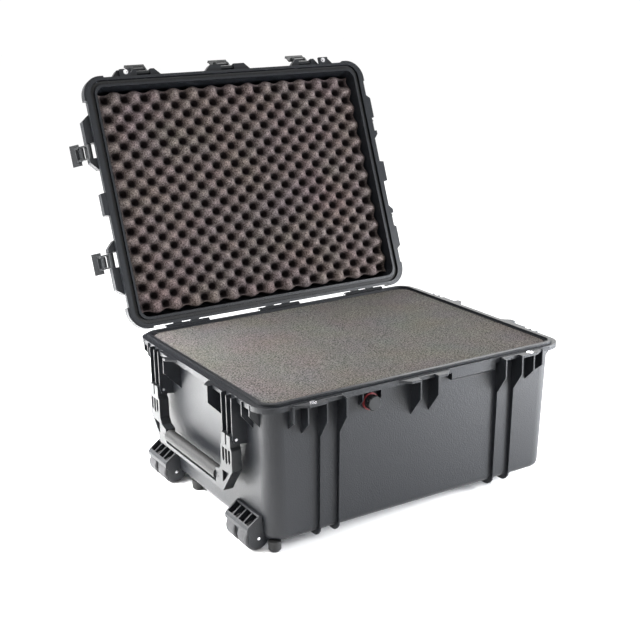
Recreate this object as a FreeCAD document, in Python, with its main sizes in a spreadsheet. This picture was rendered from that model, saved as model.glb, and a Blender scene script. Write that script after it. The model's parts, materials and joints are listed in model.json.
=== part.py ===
import FreeCAD, Part
import os

import Sketcher

# Hard equipment case: a moulded tub on wheels with a hinged, latched lid.
# Millimetres. +Z up, the front long side faces -Y, the wheels are at the -X end.
# It is drawn with the middle of the tub at x = y = 0, then moved along Y so that the
# origin is on the floor under the middle of the whole case as it stands, lid open.
# Everything on the lid is drawn closed and then swung open about the lid's hinge axis.

Vector = FreeCAD.Vector
Rotation = FreeCAD.Rotation
Placement = FreeCAD.Placement

doc = FreeCAD.newDocument("equipment_case")

DIMENSIONS = {
    # tub
    "rim_height": 312, "floor_gap": 22, "floor_thick": 5,
    "tub_half_long": 356, "tub_half_wide": 276.5, "tub_corner": 36,
    "tub_draft": 8, "tub_bottom_round": 16,
    "cavity_half_long": 351, "cavity_half_wide": 271.5, "cavity_corner": 31,
    "cavity_bottom_round": 11,
    "flange_half_long": 374, "flange_half_wide": 289, "flange_thick": 11, "flange_corner": 42,
    "bead_half_long": 361, "bead_half_wide": 281.5, "bead_width": 8, "bead_height": 5,
    "bead_corner": 31,
    # catches and ribs, measured outwards from the flange edge
    "catch_reach": 19, "rib_half_gap": 22, "rib_thick": 3, "shelf_thick": 5,
    "latch_front_x": 219, "latch_end_y": 126, "padlock_offset": 48, "padlock_hole": 4,
    # lid
    "lid_gap": 1, "lid_flange_thick": 11, "lid_height": 60, "lid_half_long": 356,
    "lid_half_wide": 276.5, "lid_corner": 36, "lid_draft": 5, "lid_top_round": 14,
    "lid_cavity_half_long": 347.5, "lid_cavity_half_wide": 267.5, "lid_cavity_corner": 22,
    "lid_cavity_depth": 55, "lid_cavity_round": 9, "groove_depth": 8, "groove_clearance": 1,
    "bumper_reach": 4, "bumper_height": 18, "bumper_length": 51,
    # hinge
    "hinge_y": 298, "hinge_drop": 1, "hinge_x": 243, "knuckle_radius": 7,
    "knuckle_pitch": 22, "knuckle_length": 21.4, "hinge_pin_radius": 2.5, "lid_open_angle": 111,
    "origin_back": 141.6,
    # latch, measured outwards from the flange edge and up from the rim
    "lever_pin_out": 10, "lever_pin_up": 20, "lever_pin_radius": 2, "ear_face": 17.5,
    "ear_reach": 17, "stem_half_width": 16.2, "flare_half_width": 24.5, "flare_out": 20,
    "flare_top": 8, "lever_bottom": 30, "lever_thick": 3.5, "lever_open_angle": 130,
    "hook_pin_out": 14, "hook_pin_up": 1, "hook_pin_radius": 1.5, "hook_half_width": 12,
    "hook_open_angle": 50,
    "pin_clearance": 0.06,
    # fold-down handles, measured outwards from the flange edge and down from the rim
    "pivot_out": 3, "pivot_down": 88, "bracket_inner_y": 148, "bracket_pitch": 21,
    "handle_thick": 22, "handle_bottom": 208, "rail_height": 8, "grip_radius": 13.5,
    "grip_half_length": 117, "handle_pin_radius": 3,
    # wheels
    "wheel_radius": 27, "axle_x": 359, "axle_z": 27, "wheel_width": 36, "wheel_pitch": 50,
    "axle_radius": 3, "housing_inner_y": 142, "housing_width": 94, "hub_radius": 18, "half_disc": 4,
    # purge valve
    "valve_x": 126, "valve_down": 33, "valve_knob_radius": 15.5,
    # foam
    "foam_clearance": 0.6, "foam_pad_thick": 15, "foam_layer": 138, "foam_above_rim": 0,
    "lid_foam_half_long": 336, "lid_foam_half_wide": 252, "lid_foam_thick": 41,
    "lid_foam_recess": 13,
}

sheet = doc.addObject("Spreadsheet::Sheet", "Dims")
for row, (alias, number) in enumerate(DIMENSIONS.items(), start=1):
    sheet.set("A%d" % row, str(number))
    sheet.setAlias("A%d" % row, alias)
doc.recompute()


def size(expression):
    """The number that an expression over the sheet's aliases gives."""
    return float(sheet.evalExpression(bound(expression)))


def bound(expression):
    """The same expression with every alias pointing at the sheet."""
    out, word = "", ""
    for letter in str(expression) + " ":
        if letter.isalnum() or letter in "_.":
            word += letter
            continue
        out += ("Dims." + word) if word in DIMENSIONS else word
        out += letter
        word = ""
    return out.strip()


# ---------------------------------------------------------------- drawing helpers

def draw_polygon(sketch, outline):
    """A closed outline whose corners are pairs of sheet expressions."""
    corners = [Vector(size(x), size(y), 0) for x, y in outline]
    count = len(corners)
    for i in range(count):
        sketch.addGeometry(Part.LineSegment(corners[i], corners[(i + 1) % count]), False)
    for i in range(count):
        sketch.addConstraint(Sketcher.Constraint("Coincident", i, 2, (i + 1) % count, 1))
    for i, (x, y) in enumerate(outline):
        for kind, expression, number in (("DistanceX", x, corners[i].x),
                                         ("DistanceY", y, corners[i].y)):
            index = sketch.addConstraint(Sketcher.Constraint(kind, -1, 1, i, 1, number))
            if not is_number(expression):
                sketch.setExpression("Constraints[%d]" % index, bound(expression))


def is_number(expression):
    return str(expression).lstrip("-").replace(".", "").isdigit()


def draw_rounded_rectangle(sketch, half_x, half_y, radius):
    """A rectangle centred on the sketch's origin with four equal round corners."""
    a, b, r = size(half_x), size(half_y), size(radius)
    corners = [(a - r, b - r, 0), (r - a, b - r, 90), (r - a, r - b, 180), (a - r, r - b, 270)]
    for x, y, start in corners:
        circle = Part.Circle(Vector(x, y, 0), Vector(0, 0, 1), r)
        begin = start * 3.14159265 / 180
        sketch.addGeometry(Part.ArcOfCircle(circle, begin, begin + 3.14159265 / 2), False)
    for i in range(4):
        tail = sketch.Geometry[i].EndPoint
        head = sketch.Geometry[(i + 1) % 4].StartPoint
        sketch.addGeometry(Part.LineSegment(tail, head), False)
    for i in range(4):
        sketch.addConstraint(Sketcher.Constraint("Tangent", i, 2, 4 + i, 1))
        sketch.addConstraint(Sketcher.Constraint("Tangent", 4 + i, 2, (i + 1) % 4, 1))
    for i in range(3):
        sketch.addConstraint(Sketcher.Constraint("Equal", i, i + 1))
    sketch.addConstraint(Sketcher.Constraint("Horizontal", 4))
    sketch.addConstraint(Sketcher.Constraint("Vertical", 5))
    sketch.addConstraint(Sketcher.Constraint("Symmetric", 4, 1, 6, 1, -1, 1))
    for constraint, expression in (
            (Sketcher.Constraint("DistanceX", -1, 1, 3, 2, a), half_x),
            (Sketcher.Constraint("DistanceY", -1, 1, 0, 2, b), half_y),
            (Sketcher.Constraint("Radius", 0, r), radius)):
        index = sketch.addConstraint(constraint)
        sketch.setExpression("Constraints[%d]" % index, bound(expression))


def free_sketch(name, height=None):
    """A horizontal sketch outside any body, at a height given by a sheet expression."""
    sketch = doc.addObject("Sketcher::SketchObject", name)
    if height is not None:
        sketch.setExpression("Placement.Base.z", bound(height))
    return sketch


def extrude(name, sketch, length, symmetric=False):
    solid = doc.addObject("Part::Extrusion", name)
    solid.Base = sketch
    solid.DirMode = "Custom"
    solid.Dir = Vector(0, 0, 1)
    solid.setExpression("LengthFwd", bound(length))
    solid.Solid = True
    solid.Symmetric = symmetric
    return solid


def slab(name, half_x, half_y, radius, bottom, thickness):
    """A flat rounded rectangle standing between two heights."""
    sketch = free_sketch(name + "_outline", bottom)
    draw_rounded_rectangle(sketch, half_x, half_y, radius)
    return extrude(name, sketch, thickness)


def drafted_block(name, low, high):
    """A solid between two rounded rectangles; each is (half_x, half_y, radius, height)."""
    sections = []
    for label, (half_x, half_y, radius, height) in (("low", low), ("high", high)):
        sketch = free_sketch("%s_%s" % (name, label), height)
        draw_rounded_rectangle(sketch, half_x, half_y, radius)
        sections.append(sketch)
    block = doc.addObject("Part::Loft", name)
    block.Sections = sections
    block.Solid = True
    block.Ruled = True
    return block


def round_flat_end(name, block, radius, top):
    """Rounds the edges of the block's highest or lowest flat face."""
    doc.recompute()
    box = block.Shape.BoundBox
    level = box.ZMax if top else box.ZMin
    chosen = []
    for index, edge in enumerate(block.Shape.Edges, start=1):
        flat = abs(edge.BoundBox.ZMax - level) < 0.01 and abs(edge.BoundBox.ZMin - level) < 0.01
        if flat:
            chosen.append((index, size(radius), size(radius)))
    fillet = doc.addObject("Part::Fillet", name)
    fillet.Base = block
    fillet.Edges = chosen
    return fillet


SIDE = Rotation(Vector(0, -1, 0), Vector(0, 0, 1), Vector(-1, 0, 0), "XYZ")
PLAN = Rotation(Vector(1, 0, 0), Vector(0, -1, 0), Vector(0, 0, -1), "XYZ")


def side_plate(name, outline, along, thickness, station):
    """A plate standing out from the case: outline in (outwards, up), centred at 'along'."""
    sketch = free_sketch(name + "_outline")
    draw_polygon(sketch, outline)
    plate = extrude(name, sketch, thickness, symmetric=True)
    plate.Placement = station.multiply(Placement(Vector(size(along), 0, 0), SIDE))
    return plate


def plan_plate(name, outline, bottom, thickness, station):
    """A level plate: outline in (along, outwards), its underside at 'bottom'."""
    sketch = free_sketch(name + "_outline")
    draw_polygon(sketch, outline)
    plate = extrude(name, sketch, thickness, symmetric=True)
    middle = size(bottom) + size(thickness) / 2
    plate.Placement = station.multiply(Placement(Vector(0, 0, middle), PLAN))
    return plate


def rod(name, radius, length, centre, direction, station=None):
    """A round bar or bore, centred on a point and lying along a direction."""
    bar = doc.addObject("Part::Cylinder", name)
    bar.setExpression("Radius", bound(radius))
    bar.setExpression("Height", bound(length))
    turn = Rotation(Vector(0, 0, 1), direction)
    start = Vector(*centre) - direction * (size(length) / 2)
    place = Placement(start, turn)
    bar.Placement = station.multiply(place) if station else place
    return bar


def block(name, low, high, station=None):
    """A box between two opposite corners given as sheet expressions."""
    box = doc.addObject("Part::Box", name)
    for side, a, b in zip(("Length", "Width", "Height"), low, high):
        box.setExpression(side, bound("(%s) - (%s)" % (b, a)))
    place = Placement(Vector(*[size(value) for value in low]), Rotation())
    box.Placement = station.multiply(place) if station else place
    return box


def fuse(name, shapes):
    joined = doc.addObject("Part::MultiFuse", name)
    joined.Shapes = shapes
    return joined


def cut(name, base, tool):
    result = doc.addObject("Part::Cut", name)
    result.Base = base
    result.Tool = tool
    return result


def group(name, solids):
    """Separate identical solids kept in one node."""
    together = doc.addObject("Part::Compound", name)
    together.Links = solids
    return together


# ---------------------------------------------------------------- stations and poses

X, Y, Z = Vector(1, 0, 0), Vector(0, 1, 0), Vector(0, 0, 1)
RIM = size("rim_height")


def station_at(x, y, turn):
    """A place on the flange edge; its own -Y axis points out of the case."""
    return Placement(Vector(x, y, RIM), Rotation(Z, turn))


def stations():
    """Every latch: name to (place, side on which the padlock eye is, or 0)."""
    front, end = -size("flange_half_wide"), size("flange_half_long")
    across, along = size("latch_front_x"), size("latch_end_y")
    return {
        "front_left": (station_at(-across, front, 0), -1),
        "front_middle": (station_at(0, front, 0), 0),
        "front_right": (station_at(across, front, 0), 1),
        "left_front": (station_at(-end, -along, -90), 0),
        "left_rear": (station_at(-end, along, -90), 0),
        "right_front": (station_at(end, -along, 90), 0),
        "right_rear": (station_at(end, along, 90), 0),
    }


STATIONS = stations()
ENDS = {"left": station_at(-size("flange_half_long"), 0, -90),
        "right": station_at(size("flange_half_long"), 0, 90)}
FRONT = station_at(0, -size("flange_half_wide"), 0)
BACK = station_at(0, size("flange_half_wide"), 180)

HINGE = Vector(0, size("hinge_y"), RIM - size("hinge_drop"))
LID_OPEN = Placement(Vector(), Rotation(X, -size("lid_open_angle")), HINGE)


def lever_open(station):
    """Turns a closed latch lever out to its open stop, on the open lid."""
    pin = Vector(0, -size("lever_pin_out"), size("lever_pin_up"))
    swing = Placement(Vector(), Rotation(X, -size("lever_open_angle")), pin)
    return LID_OPEN.multiply(station).multiply(swing)


def hook_open(station):
    """Turns a latch's hook out into the window of its open lever."""
    pin = Vector(0, -size("hook_pin_out"), size("hook_pin_up"))
    swing = Placement(Vector(), Rotation(X, -size("hook_open_angle")), pin)
    return lever_open(station).multiply(swing)


# ---------------------------------------------------------------- tub

def tall_rib(reach, knee):
    """A catch rib that runs on down the drafted wall and under the floor."""
    floor = "floor_gap - rim_height"
    return [(-60, -2), (reach, -2), (reach, "-" + knee), (-6, "-%s - 38" % knee),
            (-13, floor + " + 14"), (-16, floor + " + 3"), (-22, floor + " - 5"),
            (-29, floor + " - 9.5"), (-36, floor + " - 11"), (-54, floor + " - 11"),
            (-61, floor + " - 9"), (-67, floor + " - 3"), (-67, floor + " + 4"),
            (-60, floor + " + 4")]


def short_rib(reach, knee, tip):
    return [(-60, -2), (reach, -2), (reach, -knee), (-20, -tip), (-60, -tip)]


def shelf(name, side, inner, flat, foot, station):
    """A catch shelf beside a latch, its outer corner cut back at a slant."""
    outline = [(inner, -25), (inner, "catch_reach"), (flat, "catch_reach"), (foot, 0),
               (foot, -25)]
    if side < 0:
        outline = [("-1 * (%s)" % along, out) for along, out in reversed(outline)]
    return plan_plate(name, outline, "-1 - shelf_thick", "shelf_thick", station)


def front_catch(name, station, outer):
    """Ribs, shelves and catch lip below one of the three front latches."""
    if outer == 0:
        outlines = {"-rib_half_gap": short_rib("catch_reach", 42, 92),
                    "rib_half_gap": short_rib("catch_reach", 42, 92)}
        shelves = [shelf(name + "_shelf_a", 1, "rib_half_gap - 1.5", 44, 62, station),
                   shelf(name + "_shelf_b", -1, "rib_half_gap - 1.5", 44, 62, station)]
    else:
        outlines = {"-rib_half_gap": tall_rib("catch_reach", "42"),
                    "rib_half_gap": tall_rib("catch_reach", "42"),
                    "%d * 60" % outer: short_rib(12, 43, 74),
                    "%d * 88" % outer: short_rib(7, 37, 57)}
        shelves = [shelf(name + "_shelf", outer, "rib_half_gap - 1.5", 61, 94, station)]
    ribs = [side_plate("%s_rib%d" % (name, i), outline, along, "rib_thick", station)
            for i, (along, outline) in enumerate(outlines.items())]
    return ribs + shelves + [catch_lip(name, station)]


def catch_lip(name, station):
    """The bar that the latch hook pulls against."""
    return block(name + "_lip", ("-rib_half_gap", -7.4, -8), ("rib_half_gap", 5, -1), station)


def end_catch(name, station, inner):
    """An end latch has one gusset of its own; the handle bracket is its other side."""
    rib = side_plate(name + "_gusset", short_rib("catch_reach", 36, 76),
                     "%d * rib_half_gap" % inner, "rib_thick", station)
    ledge = shelf(name + "_shelf", inner, "rib_half_gap - 1.5", 34, 52, station)
    return [rib, ledge, catch_lip(name, station)]


def handle_bracket(name, side, station):
    """Three ribs down the end wall that carry one end of the handle's pin."""
    ribs = []
    for i in range(3):
        outline = [(-60, -2), (11, -2), (11, "-pivot_down + 2"), (7, "-pivot_down - 8"),
                   (-2, "-pivot_down - 10"), (-60, "-pivot_down - 18")]
        along = "%d * (bracket_inner_y + %d * bracket_pitch)" % (side, i)
        ribs.append(side_plate("%s_rib%d" % (name, i), outline, along, "rib_thick", station))
    return ribs


def corner_gussets(name, station, side):
    """Two short ribs under the flange, near the corner of the tub."""
    places = (218, 244)
    return [side_plate("%s_%d" % (name, i), short_rib(4 - 3 * i, 30 - 6 * i, 60 - 10 * i),
                       side * along, "rib_thick", station)
            for i, along in enumerate(places)]


def back_ribs():
    """Pairs of ribs under each hinge and full-height ribs in line with the front ones."""
    ribs = []
    for i, along in enumerate((-1, 1)):
        for j, gap in enumerate(("-rib_half_gap", "rib_half_gap")):
            place = "%d * latch_front_x + %s" % (along, gap)
            ribs.append(side_plate("back_rib_%d%d" % (i, j), tall_rib(4, "16"), place,
                                   "rib_thick", BACK))
    for i, place in enumerate(("-40", "40")):
        ribs.append(side_plate("back_gusset_%d" % i, short_rib(4, 20, 60), place,
                               "rib_thick", BACK))
    return ribs


def knuckles(name, first, count, web_low, web_high):
    """Every second hinge barrel, at the three hinges, with the web that carries it."""
    parts = []
    for i in (-1, 0, 1):
        for j in range(count):
            x = i * size("hinge_x") + (first + 2 * j) * size("knuckle_pitch")
            barrel = rod("%s_barrel_%d%d" % (name, i + 1, j), "knuckle_radius",
                         "knuckle_length", (x, HINGE.y, HINGE.z), X)
            web = block("%s_web_%d%d" % (name, i + 1, j),
                        (x - size("knuckle_length") / 2, "hinge_y - 14", web_low),
                        (x + size("knuckle_length") / 2, "hinge_y - 1", web_high))
            parts += [barrel, web]
    return parts


def name_ledge():
    """A plain raised panel under the flange, between the middle and right catches."""
    outline = [(-40, -8), (-1, -8), (-1, -24.5), (-4, -27.5), (-40, -27.5)]
    return side_plate("name_ledge", outline, 127, "114", FRONT)


def valve_seat():
    y = -size("flange_half_wide") + 9
    boss = rod("valve_boss", "valve_knob_radius + 3.5", 20,
               (-size("valve_x"), y + 10, RIM - size("valve_down")), Y)
    guards = [side_plate("valve_guard_%d" % i, [(-40, -8), (0, -8), (0, -26), (-12, -38), (-40, -38)],
                         place, "rib_thick", FRONT)
              for i, place in enumerate(("-valve_x - 22", "-valve_x + 22"))]
    return [boss] + guards


def cavity():
    inner = drafted_block(
        "cavity_block",
        ("cavity_half_long - tub_draft", "cavity_half_wide - tub_draft",
         "cavity_corner", "floor_gap + floor_thick"),
        ("cavity_half_long", "cavity_half_wide", "cavity_corner",
         "rim_height + bead_height + 1"))
    return round_flat_end("cavity_round", inner, "cavity_bottom_round", top=False)


def wheel_wells(name, margin):
    """The two boxes that the wheel housings reach into, grown inwards by a margin."""
    boxes = []
    for label, low, high in (("front", "-1 * (housing_inner_y + housing_width)",
                              "-1 * housing_inner_y"),
                             ("rear", "housing_inner_y", "housing_inner_y + housing_width")):
        boxes.append(block("%s_%s" % (name, label),
                           ("-axle_x - wheel_radius - 6", "%s - 1 - %s" % (low, margin), 0),
                           ("-axle_x + wheel_radius + 4 + %s" % margin,
                            "%s + 1 + %s" % (high, margin),
                            "axle_z + wheel_radius + 6 + %s" % margin)))
    return boxes


def base_shell():
    outer = drafted_block(
        "tub_block",
        ("tub_half_long - tub_draft", "tub_half_wide - tub_draft", "tub_corner",
         "floor_gap"),
        ("tub_half_long", "tub_half_wide", "tub_corner", "rim_height"))
    outer = round_flat_end("tub_round", outer, "tub_bottom_round", top=False)
    pieces = [outer]
    pieces.append(slab("flange", "flange_half_long", "flange_half_wide", "flange_corner",
                       "rim_height - flange_thick", "flange_thick"))
    bead = slab("bead_block", "bead_half_long", "bead_half_wide", "bead_corner",
                "rim_height - 1", "bead_height + 1")
    bead_inside = slab("bead_inside", "bead_half_long - bead_width",
                       "bead_half_wide - bead_width", "bead_corner - bead_width",
                       "rim_height", "bead_height + 1")
    pieces.append(cut("bead", bead, bead_inside))
    for name, (station, outer_side) in STATIONS.items():
        if name.startswith("front"):
            pieces += front_catch("catch_" + name, station, outer_side)
        else:
            inner = 1 if name in ("left_rear", "right_front") else -1
            pieces += end_catch("catch_" + name, station, inner)
    for end, station in ENDS.items():
        for side in (-1, 1):
            label = "%s_%s" % (end, "a" if side < 0 else "b")
            pieces += handle_bracket("bracket_" + label, side, station)
            pieces += corner_gussets("corner_" + label, station, side)
    pieces += back_ribs() + valve_seat() + [name_ledge()]
    pieces += knuckles("base", -2, 3, "rim_height - 9", "rim_height - 0.5")
    hollow = cut("tub_hollow", fuse("tub_outside", pieces), cavity())

    walled = fuse("tub_with_wells", [hollow] + well_walls())
    return cut("base_shell", walled, fuse("tub_holes", wheel_wells("well", "0") + base_holes()))


def well_walls():
    """The wheel wells' own walls, inside the tub."""
    walls = []
    for box in wheel_wells("well_wall", "5"):
        inside = block(box.Name + "_limit", ("-cavity_half_long + 8", -300, "floor_gap"),
                       (0, 300, 200))
        wall = doc.addObject("Part::Common", box.Name + "_inside")
        wall.Base, wall.Tool = box, inside
        walls.append(wall)
    return walls


def base_holes():
    holes = []
    for i in (-1, 0, 1):
        holes.append(rod("hinge_hole_%d" % (i + 1), "hinge_pin_radius + 0.02",
                         "6 * knuckle_pitch", (i * size("hinge_x"), HINGE.y, HINGE.z), X))
    for name, station in ENDS.items():
        for side in (-1, 1):
            centre = size("bracket_inner_y + bracket_pitch")
            holes.append(rod("pin_hole_%s_%s" % (name, "a" if side < 0 else "b"),
                             "handle_pin_radius + 0.02", "2 * bracket_pitch + 8",
                             (side * centre, -size("pivot_out"), -size("pivot_down")),
                             X, station))
    for name, (station, outer) in STATIONS.items():
        if outer:
            holes.append(rod("padlock_hole_" + name, "padlock_hole + 2", 20,
                             (outer * size("padlock_offset"), -10, -3), Z, station))
    holes.append(rod("valve_hole", 6, 40, (-size("valve_x"), -size("tub_half_wide"),
                                           RIM - size("valve_down")), Y))
    for i, (x, y, z) in enumerate(housing_screw_places()):
        holes.append(rod("screw_hole_%d" % i, 2.1, 16, (x, y, z), X))
    return holes


# ---------------------------------------------------------------- lid

def lid_ledge(name, side, outline, low, thickness, station):
    """A plate that stands out from the lid's flange on one side of a station."""
    if side < 0:
        outline = [("-1 * (%s)" % along, out) for along, out in reversed(outline)]
    return plan_plate(name, outline, "lid_gap + %s" % low, thickness, station)


def ear_ends(name, side, padlock_side):
    """How far along the flange one ear goes: at its outer face, and at its foot."""
    if padlock_side:
        return (26, 39) if side == padlock_side else (27, 44)
    if name.startswith("front"):
        return 46, 62
    towards_middle = 1 if name in ("left_rear", "right_front") else -1
    return (27, 44) if side == towards_middle else (68, 81)


def latch_ears(name, station, padlock_side):
    """Two ears that hold the lever's pin, and the padlock eye beside them."""
    parts = []
    for side in (-1, 1):
        tip, foot = ear_ends(name, side, padlock_side)
        outline = [("ear_face", -30), ("ear_face", "ear_reach"), (tip, "ear_reach"), (foot, 1),
                   (foot, -30)]
        parts.append(lid_ledge("ears_%s_%d" % (name, side + 1), side, outline, 10, 18, station))
    if padlock_side:
        eye = [(36, -30), (36, "ear_reach"), (62, "ear_reach"), (62, -30)]
        guard = [(54, -30), (54, "ear_reach"), (66, "ear_reach"), (80, 1), (80, -30)]
        parts.append(lid_ledge("eye_" + name, padlock_side, eye, 1, 6, station))
        parts.append(lid_ledge("guard_" + name, padlock_side, guard, 10, 18, station))
    return parts


def lid_end_bosses():
    """A raised boss in the middle of each end of the lid."""
    outline = [(-30, -30), (-25, 12), (25, 12), (30, -30)]
    return [plan_plate("end_boss_" + end, outline, "lid_gap + 1", 16, station)
            for end, station in ENDS.items()]


def lid_corner_bumpers():
    """Thick guards round the lid's four corners."""
    ring = slab("bumper_ring", "flange_half_long + bumper_reach",
                "flange_half_wide + bumper_reach", "flange_corner + 4",
                "rim_height + lid_gap + 1", "bumper_height")
    corners = []
    for i, (a, b) in enumerate(((1, 1), (1, -1), (-1, 1), (-1, -1))):
        x, y = size("flange_half_long"), size("flange_half_wide")
        low = (min(a * (x - size("bumper_length")), a * (x + 30)),
               min(b * (y - size("bumper_length")), b * (y + 30)), RIM)
        high = (max(a * (x - size("bumper_length")), a * (x + 30)),
                max(b * (y - size("bumper_length")), b * (y + 30)), RIM + 60)
        corners.append(block("bumper_corner_%d" % i, low, high))
    bumpers = doc.addObject("Part::Common", "bumpers")
    bumpers.Base = ring
    bumpers.Tool = fuse("bumper_corners", corners)
    return bumpers


def lid_top_ribs():
    """Stacking ribs across the lid, in line with the tub's tall ribs."""
    ribs = []
    for i, side in enumerate((-1, 1)):
        for j, gap in enumerate((-1, 1)):
            place = "%d * latch_front_x + %d * rib_half_gap" % (side, gap)
            ribs.append(block("lid_rib_%d%d" % (i, j),
                              (place + " - 2", -258, "rim_height + lid_height - 4"),
                              (place + " + 2", 258, "rim_height + lid_height + 5")))
    for i, y in enumerate((-150, 150)):
        ribs.append(block("lid_bar_%d" % i, (-196, y - 2, "rim_height + lid_height - 4"),
                          (196, y + 2, "rim_height + lid_height + 3")))
    return ribs


def lid_shell():
    outer = drafted_block(
        "lid_block",
        ("lid_half_long", "lid_half_wide", "lid_corner", "rim_height + lid_gap"),
        ("lid_half_long - lid_draft", "lid_half_wide - lid_draft", "lid_corner",
         "rim_height + lid_height + lid_gap"))
    outer = round_flat_end("lid_round", outer, "lid_top_round", top=True)
    pieces = [outer, slab("lid_flange", "flange_half_long", "flange_half_wide",
                          "flange_corner", "rim_height + lid_gap", "lid_flange_thick")]
    for name, (station, outer_side) in STATIONS.items():
        pieces += latch_ears(name, station, outer_side)
    pieces += lid_end_bosses() + lid_top_ribs() + [lid_corner_bumpers()]
    pieces += knuckles("lid", -1, 2, "rim_height + lid_gap", "rim_height + 6")
    solid = fuse("lid_outside", pieces)

    inside = drafted_block(
        "lid_cavity_block",
        ("lid_cavity_half_long", "lid_cavity_half_wide", "lid_cavity_corner",
         "rim_height + lid_gap - 1"),
        ("lid_cavity_half_long - 6", "lid_cavity_half_wide - 6", "lid_cavity_corner",
         "rim_height + lid_gap + lid_cavity_depth"))
    inside = round_flat_end("lid_cavity_rounded", inside, "lid_cavity_round", top=True)
    groove = groove_ring("lid_groove", "groove_clearance", "rim_height + lid_gap - 1",
                         "groove_depth + 1")
    holes = []
    for i in (-1, 0, 1):
        holes.append(rod("lid_hinge_hole_%d" % (i + 1), "hinge_pin_radius + pin_clearance",
                         "6 * knuckle_pitch", (i * size("hinge_x"), HINGE.y, HINGE.z), X))
    for name, (station, outer_side) in STATIONS.items():
        holes.append(rod("ear_hole_" + name, "lever_pin_radius + 0.02", 66,
                         (0, -size("lever_pin_out"), size("lever_pin_up")), X, station))
        if outer_side:
            holes.append(rod("eye_hole_" + name, "padlock_hole + 2", 30,
                             (outer_side * size("padlock_offset"), -10, 8), Z, station))
    lid = cut("lid_shell", solid, fuse("lid_holes", [inside, groove] + holes))
    lid.Placement = LID_OPEN
    return lid


def groove_ring(name, gap, bottom, height):
    """A ring that follows the tub's bead, wider than it by a gap on both sides."""
    outer = slab(name + "_outer", "bead_half_long + %s" % gap, "bead_half_wide + %s" % gap,
                 "bead_corner + %s" % gap, bottom, height)
    inner = slab(name + "_inner", "bead_half_long - bead_width - %s" % gap,
                 "bead_half_wide - bead_width - %s" % gap,
                 "bead_corner - bead_width - %s" % gap, "%s - 1" % bottom, "%s + 2" % height)
    return cut(name, outer, inner)


def lid_gasket():
    """The seal in the lid's groove; it is narrower than the groove all round."""
    gasket = groove_ring("lid_gasket", "-0.6", "rim_height + lid_gap + groove_depth - 2.6",
                         "2.4")
    gasket.Placement = LID_OPEN
    return gasket


# ---------------------------------------------------------------- hinge pins and padlock eyes

def hinge_pins():
    return group("hinge_pins", [
        rod("hinge_pin_%d" % (i + 1), "hinge_pin_radius", "5 * knuckle_pitch",
            (i * size("hinge_x"), HINGE.y, HINGE.z), X) for i in (-1, 0, 1)])


def eyelet(name, station, outer, low, length):
    """A flanged steel sleeve that lines a padlock hole."""
    along = outer * size("padlock_offset")
    tube = rod(name + "_tube", "padlock_hole + 1.9", length, (along, -10, low + length / 2),
               Z, station)
    head = rod(name + "_head", "padlock_hole + 3.5", 1.2, (along, -10, low + length + 0.6),
               Z, station)
    bore = rod(name + "_bore", "padlock_hole", 30, (along, -10, low), Z, station)
    return cut(name, fuse(name + "_solid", [tube, head]), bore)


def padlock_eyes():
    """Steel eyes in the tub's shelves, and the matching ones in the lid."""
    tub, lid = [], []
    for name, (station, outer) in STATIONS.items():
        if outer:
            tub.append(eyelet("tub_eye_" + name, station, outer, -6.4, 5.4))
            turned = eyelet("lid_eye_" + name, station, outer, 2, 6)
            turned.Placement = LID_OPEN
            lid.append(turned)
    return group("padlock_eyes_base", tub), group("padlock_eyes_lid", lid)


# ---------------------------------------------------------------- latches

def body_sketch(body, name, plane, outline, offset=None):
    """A polygon sketch on one of the body's own origin planes."""
    sketch = body.newObject("Sketcher::SketchObject", name)
    face = [item for item in body.Origin.OriginFeatures if item.Role == plane][0]
    sketch.AttachmentSupport = [(face, "")]
    sketch.MapMode = "FlatFace"
    if offset is not None:
        sketch.setExpression("AttachmentOffset.Base.z", bound(offset))
    if outline:
        draw_polygon(sketch, outline)
    return sketch


def pad(body, name, sketch, length, kind="Pad"):
    """A symmetric pad, or a symmetric pocket, of a sketch."""
    feature = body.newObject("PartDesign::" + kind, name)
    feature.Profile = sketch
    feature.SideType = "Symmetric"
    feature.setExpression("Length", bound(length))
    return feature


def circle_sketch(body, name, plane, centre, radius, offset=None):
    sketch = body_sketch(body, name, plane, None, offset)
    x, y = size(centre[0]), size(centre[1])
    sketch.addGeometry(Part.Circle(Vector(x, y, 0), Vector(0, 0, 1), size(radius)), False)
    for constraint, expression in (
            (Sketcher.Constraint("DistanceX", -1, 1, 0, 3, x), centre[0]),
            (Sketcher.Constraint("DistanceY", -1, 1, 0, 3, y), centre[1]),
            (Sketcher.Constraint("Radius", 0, size(radius)), radius)):
        index = sketch.addConstraint(constraint)
        if not is_number(expression):
            sketch.setExpression("Constraints[%d]" % index, bound(expression))
    return sketch


LEVER_PIN = ("-lever_pin_out", "lever_pin_up")
HOOK_PIN = ("-hook_pin_out", "hook_pin_up")


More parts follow.
